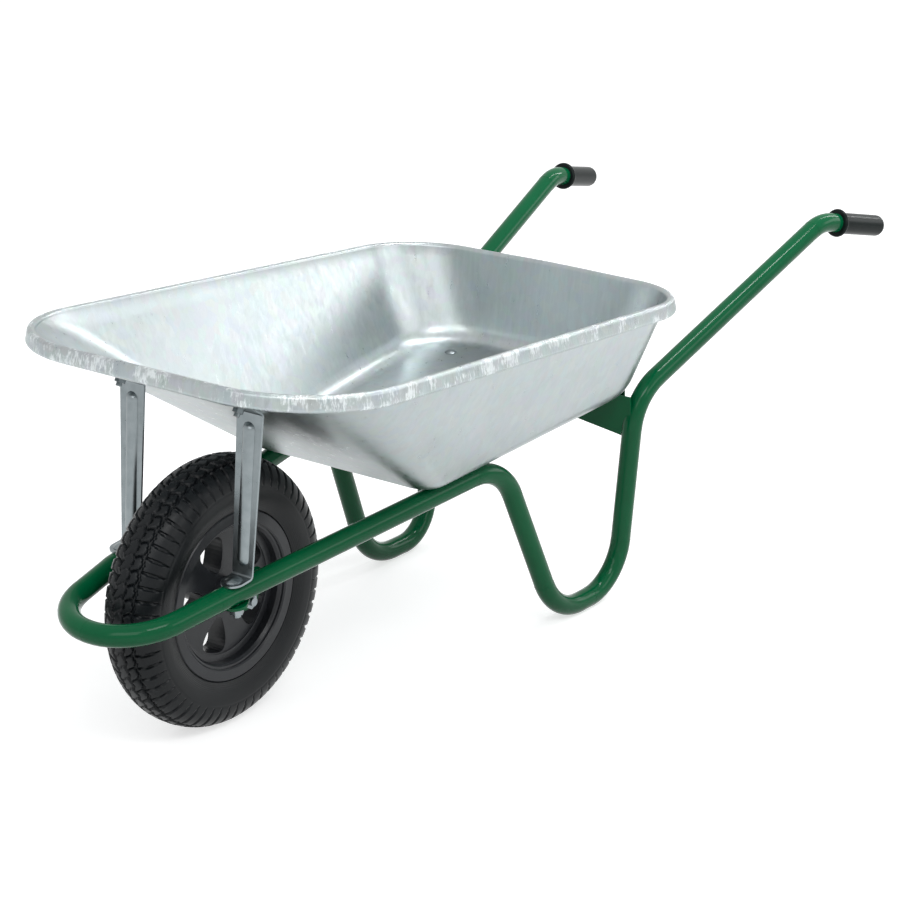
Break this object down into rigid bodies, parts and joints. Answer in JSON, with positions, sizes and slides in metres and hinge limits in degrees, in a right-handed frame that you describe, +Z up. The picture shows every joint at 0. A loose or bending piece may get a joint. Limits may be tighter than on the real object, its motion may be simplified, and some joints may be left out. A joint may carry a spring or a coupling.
{
  "type": "wheelbarrow",
  "caption": "Builder's wheelbarrow with a bent green tube frame, a pressed galvanised pan, zinc struts and a pneumatic wheel on a moulded rim",
  "frame": {"origin": "centre of the bounding box in X and Y, on the floor under the foot and the tyre in Z", "axes": "X across the barrow with the operator's left at +X, Y from the wheel at -Y to the handles at +Y, Z up"},
  "size_m": [0.5992, 1.5524, 0.5387],
  "materials": {
    "green_enamel": "gloss green stove enamel on steel",
    "galvanised_steel": "drawn galvanised sheet, satin, with fine scratches",
    "zinc_plate": "bright zinc plating",
    "grip_vinyl": "soft black vinyl, satin",
    "black_polymer": "black moulded polypropylene, satin",
    "grey_nylon": "natural nylon, dull",
    "tyre_rubber": "black tyre rubber, dull",
    "tube_rubber": "smooth black butyl rubber"
  },
  "bodies": {
    "root": {"frame_tube": "green_enamel", "rear_cross_member": "green_enamel", "axle_bracket_left": "green_enamel", "axle_bracket_right": "green_enamel", "pan": "galvanised_steel", "strut_left": "zinc_plate", "strut_right": "zinc_plate", "grip_left": "grip_vinyl", "grip_right": "grip_vinyl", "rail_bolts": "zinc_plate", "rail_washers": "zinc_plate", "rail_nuts": "zinc_plate", "strut_top_bolts": "zinc_plate", "strut_top_washers": "zinc_plate", "strut_top_nuts": "zinc_plate", "floor_bolts": "zinc_plate", "floor_washers": "zinc_plate", "floor_nuts": "zinc_plate", "axle_bolt": "zinc_plate", "axle_washers": "zinc_plate", "axle_nut": "zinc_plate", "axle_sleeve": "zinc_plate", "hub_spacers": "black_polymer"},
    "wheel_assembly": {"wheel": "black_polymer", "hub_bushes": "grey_nylon", "tyre": "tyre_rubber", "inner_tube": "tube_rubber", "valve_stem": "tube_rubber", "valve_cap": "black_polymer"}
  },
  "joints": [
    {"name": "wheel_spin", "type": "hinge", "parent": "root", "child": "wheel_assembly", "pos_m": [0, -0.5244, 0.1892], "axis": [1, 0, 0], "continuous": true}
  ]
}
